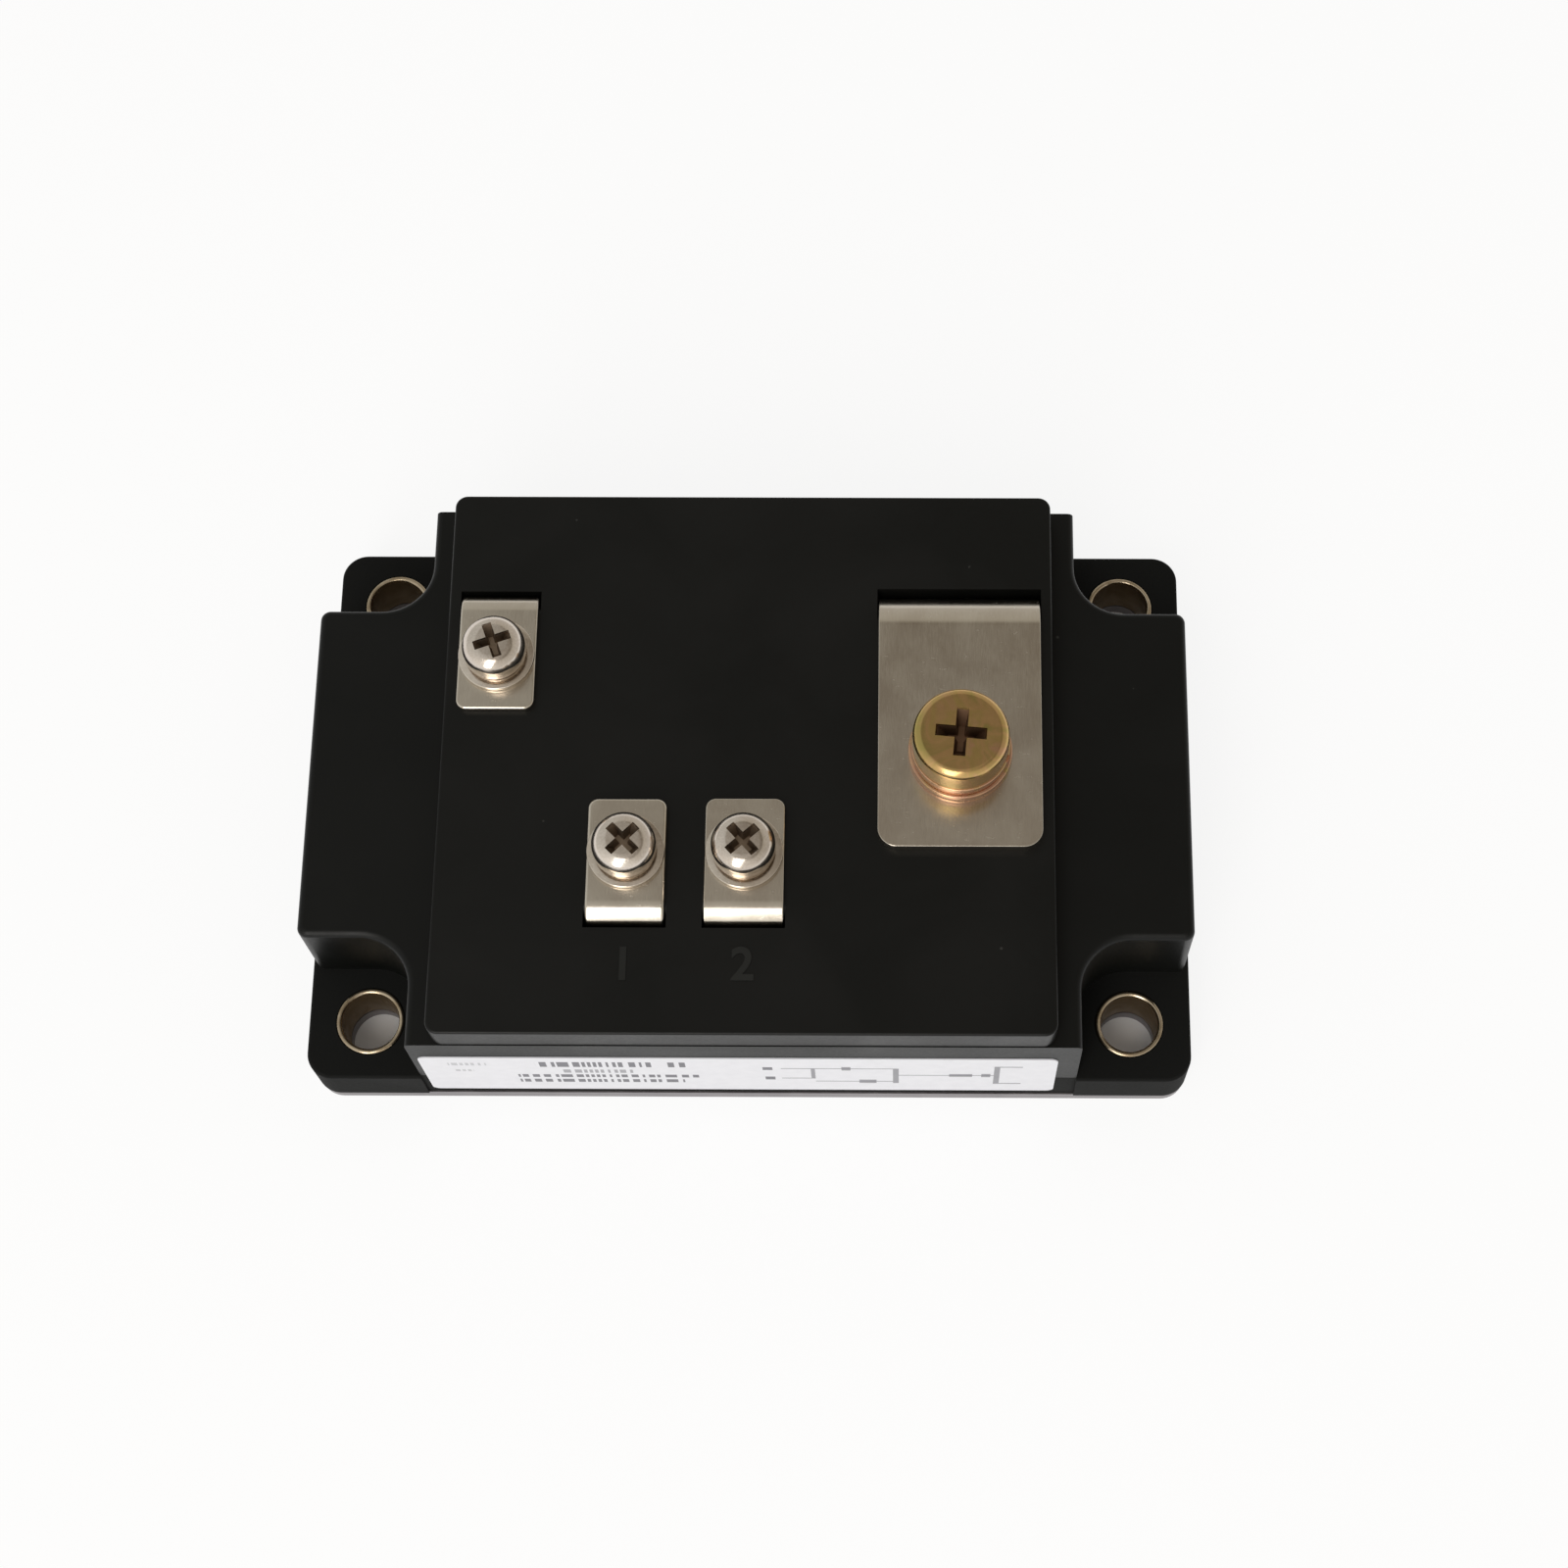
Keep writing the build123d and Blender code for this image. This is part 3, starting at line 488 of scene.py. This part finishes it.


# Screws: one M6 with a flat-topped round head and three M4 with domed heads, all with a cross
# recess punched into the head. Below a thin lip the recess is given painted shade, dark and
# dull.
def cross_screw(seat, thread, pitch, length, radius, height, rounding, steps,
                arm, width, depth, core):
    """A screw at the origin: a head whose rim is rounded over, a cross recess and a thread."""
    taper, proud = 0.5, 0.0001
    head = lay_down("cylinder", vertices=72, radius=radius, depth=height,
                    location=(0, 0, seat + height / 2))
    bpy.ops.object.mode_set(mode="EDIT")
    bpy.ops.mesh.select_mode(type="EDGE")
    bpy.ops.mesh.select_all(action="DESELECT")
    bpy.ops.object.mode_set(mode="OBJECT")
    for edge in head.data.edges:
        edge.select = all(head.data.vertices[v].co.z > 0 for v in edge.vertices)
    bpy.ops.object.mode_set(mode="EDIT")
    bpy.ops.mesh.bevel(offset=rounding, segments=steps, profile=0.5, affect="EDGES")
    close_up()
    bpy.ops.object.transform_apply(location=True, rotation=True, scale=True)
    for turn, reach, across in ((0, arm, width), (90, arm, width), (45, core, core)):
        cutter = lay_down("cube", size=1, location=(0, 0, seat + height - depth / 2 + proud))
        cutter.scale = (reach, across, depth + 2 * proud)
        cutter.rotation_euler = (0, 0, radians(turn))
        bpy.ops.object.transform_apply(location=True, rotation=True, scale=True)
        bpy.ops.object.mode_set(mode="EDIT")
        bpy.ops.mesh.select_mode(type="FACE")
        bpy.ops.mesh.select_all(action="DESELECT")
        bpy.ops.object.mode_set(mode="OBJECT")
        for face in cutter.data.polygons:
            face.select = face.normal.z < -0.5
        bpy.ops.object.mode_set(mode="EDIT")
        bpy.ops.transform.resize(value=(taper, taper, 1))
        bpy.ops.object.mode_set(mode="OBJECT")
        bpy.ops.object.select_all(action="DESELECT")
        head.select_set(True)
        bpy.context.view_layer.objects.active = head
        cut = head.modifiers.new("cut", "BOOLEAN")
        cut.operation, cut.object, cut.solver = "DIFFERENCE", cutter, "EXACT"
        bpy.ops.object.modifier_apply(modifier=cut.name)
        bpy.data.objects.remove(cutter)
    bpy.ops.object.shade_smooth_by_angle(angle=radians(35))
    level = head.modifiers.new("level", "WEIGHTED_NORMAL")
    level.keep_sharp = True
    bpy.ops.object.modifier_apply(modifier=level.name)

    shank = lay_down("plane", size=1)
    tooth = (thread / 2 - 0.6 * pitch, thread / 2 - 0.02 * pitch)
    shank.scale = (tooth[1] - tooth[0], pitch, 1)
    shank.rotation_euler = (pi / 2, 0, 0)
    shank.location = (sum(tooth) / 2, 0, seat - length + pitch / 2)
    bpy.ops.object.transform_apply(location=True, rotation=True, scale=True)
    for vertex in shank.data.vertices:
        vertex.select = vertex.co.x > sum(tooth) / 2
    bpy.ops.object.mode_set(mode="EDIT")
    bpy.ops.mesh.select_mode(type="VERT")
    bpy.ops.mesh.merge(type="CENTER")
    bpy.ops.mesh.select_all(action="SELECT")
    bpy.ops.mesh.delete(type="ONLY_FACE")
    bpy.ops.mesh.select_all(action="DESELECT")
    bpy.ops.object.mode_set(mode="OBJECT")
    for edge in shank.data.edges:
        edge.select = all(shank.data.vertices[v].co.x < sum(tooth) / 2 for v in edge.vertices)
    bpy.ops.object.mode_set(mode="EDIT")
    bpy.ops.mesh.select_mode(type="EDGE")
    bpy.ops.mesh.delete(type="EDGE_FACE")
    bpy.ops.object.mode_set(mode="OBJECT")
    wind = shank.modifiers.new("wind", "SCREW")
    wind.steps = wind.render_steps = 24
    wind.screw_offset, wind.iterations = pitch, round(length / pitch) - 1
    bpy.ops.object.modifier_apply(modifier=wind.name)
    bpy.ops.object.mode_set(mode="EDIT")
    close_up(30)
    head.select_set(True)
    bpy.context.view_layer.objects.active = head
    bpy.ops.object.join()
    return head


head_seat, head_height, unshaded_lip = 0.0323, 0.0042, 0.00025
screw = cross_screw(
    head_seat, thread=0.0058, pitch=0.001, length=0.012, radius=0.00575, height=head_height,
    rounding=0.0011, steps=6, arm=0.0063, width=0.0015, depth=0.0024, core=0.0018)
# Painted shade in the recess of the big screw, below its lip.
paint_recess_shade(screw_yellow, [(*power_place, 0)], head_seat + head_height - unshaded_lip,
              0.003, 0.0034, (0.17, 0.10, 0.06))
set_out("power_bolt", screw, [(*power_place, -5)], "power_screw", screw_yellow)

head_seat, head_height = 0.0309, 0.0032
screw = cross_screw(
    head_seat, thread=0.0038, pitch=0.0007, length=0.008, radius=0.0038, height=head_height,
    rounding=0.0019, steps=8, arm=0.0048, width=0.0012, depth=0.0019, core=0.0017)
bright_nickel = plated_metal(
    "bright_nickel", (0.72, 0.65, 0.58), (0.54, 0.47, 0.40), (5, 5, 2), 0.18)
# Painted shade in the recesses of the small screws, below their lips.
paint_recess_shade(bright_nickel, signal_places, head_seat + head_height - unshaded_lip,
              0.003, 0.0026, (0.26, 0.20, 0.145))
set_out("signal_bolts", screw, signal_places, "signal_screws", bright_nickel)


# Label: a strip of white polyester film, stuck to the front face. It is printed in grey ink
# with rows of plain bars and a simple diagram of lines.
material, place, send = new_finish("label_film", {"Coat Roughness": 0.25, "IOR": 1.5})
across = place.node("SeparateXYZ", {}, {0: place}, "X")
up = place.node("SeparateXYZ", {}, {0: place}, "Z")
bars = place.noise(1500, 0, (1, 0, 0)) > 0.47


def printed(left, right, bottom, top):
    """1 inside a rectangle of the label, given in millimetres."""
    sides = (across > left / 1000) * (across < right / 1000)
    return sides * (up > bottom / 1000) * (up < top / 1000)


rows = printed(-25.3, -14.8, 14.1, 16.3) + printed(-14.1, -11.4, 14.1, 16.3)
rows = rows + printed(-9.4, -7.3, 14.1, 16.3) + printed(-22.2, -13.8, 11.4, 12.9) * 0.7
rows = rows + printed(-27.9, -5.9, 9.3, 10.6) + printed(-27.9, -7.8, 7.0, 8.4)
rows = rows + printed(-35.8, -31.2, 14.6, 15.8) * 0.4 + printed(-35.2, -33.0, 11.9, 12.8) * 0.4
diagram = printed(1.9, 3.1, 13.0, 14.3) + printed(2.1, 3.3, 8.5, 9.9)
for left, right, bottom, top in (
        (4.1, 17.6, 13.55, 13.85), (4.1, 7.7, 9.05, 9.35), (7.7, 8.2, 9.05, 13.55),
        (11.4, 12.5, 12.9, 14.5), (8.2, 17.6, 7.65, 7.95), (13.5, 15.6, 7.0, 8.6),
        (17.6, 18.3, 7.0, 13.85), (18.3, 29.8, 10.6, 10.9), (24.4, 27.2, 10.1, 11.4),
        (28.3, 29.4, 10.0, 11.5), (29.8, 30.5, 6.8, 14.9), (30.5, 33.2, 6.8, 7.2),
        (30.5, 33.2, 14.5, 14.9)):
    diagram = diagram + printed(left, right, bottom, top) * 0.8
fibre = place.noise(700, 3)
film = fibre.within(0.3, 0.7).blend((0.68, 0.69, 0.74), (0.65, 0.66, 0.71))
ink = (0.10, 0.10, 0.12)
send(
    Base_Color=(rows * bars + diagram).blend(film, ink),
    Roughness=fibre * 0.1 + 0.32,
    Normal=place.node("Bump", {}, {
        "Strength": 0.2, "Distance": 2e-5, "Height": place.noise(60, 3)}),
)
dress("label", material)


# Studio: a wide pale floor, a dim room and one tall soft window at the front left. Beside
# the module the floor also shows white to the camera and in reflections, and keeps the
# module's shadow. The horizon shows white in the same way.
bpy.ops.object.select_all(action="DESELECT")
bpy.ops.mesh.primitive_plane_add(size=8, location=(0, 0, 0))
floor = bpy.context.object
floor.name = "floor"
material, place, send = new_finish("floor_paper", {"Roughness": 0.9, "Specular IOR Level": 0.1})
fibre = place.noise(14, 3).within(0.2, 0.8)
send(Base_Color=fibre.blend((0.93, 0.93, 0.93), (0.95, 0.95, 0.95)))


def seen_or_mirrored(start):
    """1 for the rays of the camera, and for those that metal and glass send on."""
    rays = start.node("LightPath", {}, {}, "Is Camera Ray")
    for kind in ("Is Glossy Ray", "Is Transmission Ray"):
        rays = rays + start.node("LightPath", {}, {}, kind)
    return rays


white_share, footprint_x, footprint_y = 0.86, 0.052, 0.0332
x = place.node("SeparateXYZ", {}, {0: place}, "X")
y = place.node("SeparateXYZ", {}, {0: place}, "Y")
under = (x ** 2 < footprint_x ** 2) * (y ** 2 < footprint_y ** 2)
beside = 1 - under * 0.96
tree = material.node_tree
paper = Pattern(tree, tree.nodes["Principled BSDF"].outputs[0])
white = place.node("Emission", {}, {"Color": (1, 1, 1, 1), "Strength": 1.0})
shown = place.node("MixShader", {}, {
    0: seen_or_mirrored(place) * beside * white_share, 1: paper, 2: white})
tree.links.new(shown.socket, tree.nodes["Material Output"].inputs["Surface"])
floor.data.materials.append(material)

world = bpy.data.worlds.new("room")
bpy.context.scene.world = world
world.use_nodes = True
tree = world.node_tree
sky = Pattern(tree, None).node("TexCoord", {}, {}, "Generated")
east, north, height = [sky.node("SeparateXYZ", {}, {0: sky}, axis) for axis in "XYZ"]
room = height.node("ValToRGB", {"stops": [
    (0.0, (0.62, 0.60, 0.57)), (0.8, (0.52, 0.49, 0.43)), (0.89, (0.175, 0.147, 0.112)),
    (1.0, (0.48, 0.45, 0.41))]}, {0: height})
room = east.within(-0.04, -0.26).blend(room, (0.6, 0.6, 0.57))
front = (east * -0.37 + north * -0.93).within(-0.3, 0.9)
room = (front * front).blend(room, (1.0, 0.98, 0.94))
horizon = height.within(0.16, 0.08)
room = (seen_or_mirrored(sky) * horizon).blend(room, (0.98, 0.98, 0.97))
tree.links.new(room.socket, tree.nodes["Background"].inputs["Color"])

light = bpy.data.lights.new("window", "AREA")
light.shape, light.size, light.size_y = "RECTANGLE", 0.38, 1.25
light.energy, light.color = 6.8, (1, 0.97, 0.93)
window = bpy.data.objects.new("window", light)
bpy.context.collection.objects.link(window)
window.location = (-0.268, -0.824, 0.707)
module_middle = Vector((0, 0, 0.03))
towards = module_middle - window.location
window.rotation_euler = towards.to_track_quat("-Z", "Y").to_euler()


# Camera: above the front edge of the module and tipped back by 20 degrees, as the photograph
# was taken. The view transform is Standard.
camera = bpy.data.cameras.new("camera")
camera.sensor_width, camera.lens = 36, 67.938
camera.shift_x, camera.clip_start = -0.0667, 0.01
holder = bpy.data.objects.new("camera", camera)
bpy.context.collection.objects.link(holder)
holder.location = (0.018697, -0.125744, 0.359481)
holder.rotation_euler = (radians(20.2531), radians(0.19455), radians(0.27775))
bpy.context.scene.camera = holder
bpy.context.scene.view_settings.view_transform = "Standard"
